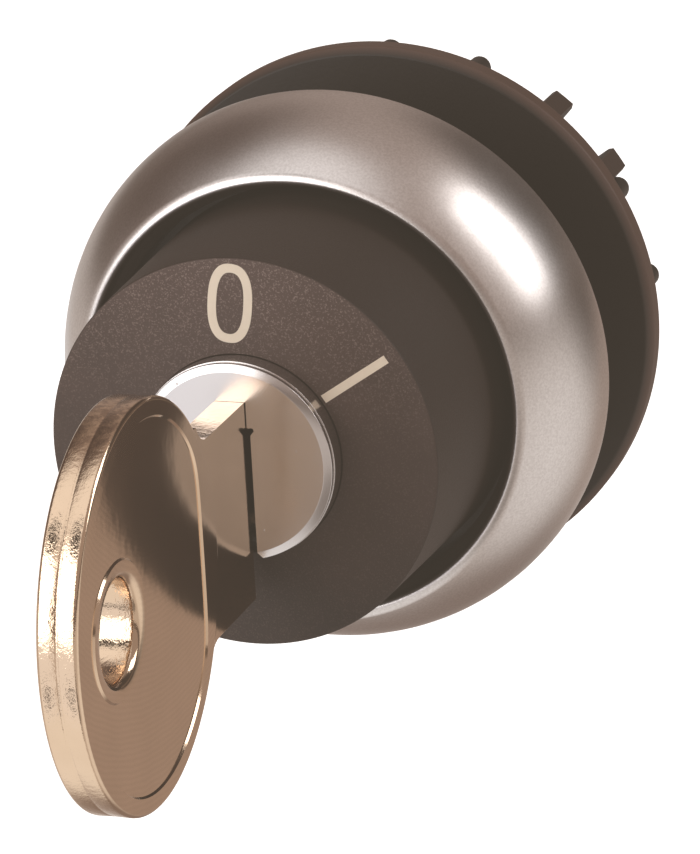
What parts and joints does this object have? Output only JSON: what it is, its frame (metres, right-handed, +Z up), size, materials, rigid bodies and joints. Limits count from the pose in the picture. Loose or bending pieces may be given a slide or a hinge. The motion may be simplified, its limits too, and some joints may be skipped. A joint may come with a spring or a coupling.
{
  "type": "selector key switch",
  "caption": "Panel-mount selector key switch with a domed satin bezel, a shrouded lock with its key, dial marks, a threaded housing, a lock ring and a rear cover.",
  "frame": {"origin": "on the switch's axis, in the plane where the gasket's rear face meets the front of the panel", "axes": "+Y through the panel to its inside, -Y to the user, +X to the user's right, +Z up"},
  "size_m": [0.0302, 0.0611, 0.0302],
  "materials": {
    "satin_metal": "satin pearl chrome plating, roughness about 0.3",
    "polished_face": "smooth nickel-chrome plated face, roughness about 0.12",
    "nickel_key": "nickel-plated key, polished, with faint milling lines",
    "black_plastic": "moulded plastic with a fine-grained front face",
    "dark_plastic": "plain moulded plastic",
    "red_plastic": "moulded acetal",
    "die_cast_zinc": null,
    "brass": "stamped or turned brass",
    "spring_steel": "bright spring steel and zinc-plated steel",
    "black_rubber": "black sealing rubber"
  },
  "bodies": {
    "switch_body": {"housing": "black_plastic", "shroud": "black_plastic", "bezel_ring": "satin_metal", "front_gasket": "black_rubber", "lock_barrel": "die_cast_zinc", "barrel_nut": "brass", "lock_ring": "dark_plastic", "detent_spring": "spring_steel", "rear_cover": "dark_plastic", "cover_screw_top": "spring_steel", "cover_screw_bottom": "spring_steel", "plunger_spring_left": "spring_steel", "plunger_spring_right": "spring_steel"},
    "plug": {"lock_plug": "polished_face", "plug_oring": "black_rubber", "plug_clip": "spring_steel", "cam": "dark_plastic", "cam_washer": "spring_steel", "cam_screw": "spring_steel", "wafer_spring_1": "spring_steel", "wafer_spring_2": "spring_steel", "wafer_spring_3": "spring_steel", "wafer_spring_4": "spring_steel", "wafer_spring_5": "spring_steel"},
    "key": {"key": "nickel_key"},
    "plunger_left": {"plunger_left": "red_plastic"},
    "plunger_right": {"plunger_right": "red_plastic"},
    "wafer_1": {"wafer_1": "brass"},
    "wafer_2": {"wafer_2": "brass"},
    "wafer_3": {"wafer_3": "brass"},
    "wafer_4": {"wafer_4": "brass"},
    "wafer_5": {"wafer_5": "brass"}
  },
  "joints": [
    {"name": "plug_turn", "type": "hinge", "parent": "switch_body", "child": "plug", "pos_m": [0, 0, 0], "axis": [0, 1, 0], "range_deg": [0, 60], "deforming": ["detent_spring"]},
    {"name": "key_pull", "type": "slide", "parent": "plug", "child": "key", "axis": [0, -1, 0], "range_m": [0, 0.022]},
    {"name": "wafer_1_drop", "type": "slide", "parent": "plug", "child": "wafer_1", "axis": [0, 0, -1], "range_m": [0, 0.00055], "deforming": ["wafer_spring_1"]},
    {"name": "wafer_2_drop", "type": "slide", "parent": "plug", "child": "wafer_2", "axis": [0, 0, -1], "range_m": [0, 0.00055], "deforming": ["wafer_spring_2"]},
    {"name": "wafer_3_drop", "type": "slide", "parent": "plug", "child": "wafer_3", "axis": [0, 0, -1], "range_m": [0, 0.00055], "deforming": ["wafer_spring_3"]},
    {"name": "wafer_4_drop", "type": "slide", "parent": "plug", "child": "wafer_4", "axis": [0, 0, -1], "range_m": [0, 0.00055], "deforming": ["wafer_spring_4"]},
    {"name": "wafer_5_drop", "type": "slide", "parent": "plug", "child": "wafer_5", "axis": [0, 0, -1], "range_m": [0, 0.00055], "deforming": ["wafer_spring_5"]},
    {"name": "plunger_left_travel", "type": "slide", "parent": "switch_body", "child": "plunger_left", "axis": [0, 1, 0], "range_m": [0, 0.0024], "deforming": ["plunger_spring_left"]},
    {"name": "plunger_right_travel", "type": "slide", "parent": "switch_body", "child": "plunger_right", "axis": [0, 1, 0], "range_m": [0, 0.0024], "deforming": ["plunger_spring_right"]}
  ],
  "couplings": [
    {"joint": "wafer_1_drop", "follows": "key_pull", "ratio": 0.025},
    {"joint": "wafer_2_drop", "follows": "key_pull", "ratio": 0.025},
    {"joint": "wafer_3_drop", "follows": "key_pull", "ratio": 0.025},
    {"joint": "wafer_4_drop", "follows": "key_pull", "ratio": 0.025},
    {"joint": "wafer_5_drop", "follows": "key_pull", "ratio": 0.025},
    {"joint": "plunger_left_travel", "follows": "plug_turn", "m_per_rad": 0.0022918},
    {"joint": "plunger_right_travel", "follows": "plug_turn", "m_per_rad": 0.0022918}
  ]
}
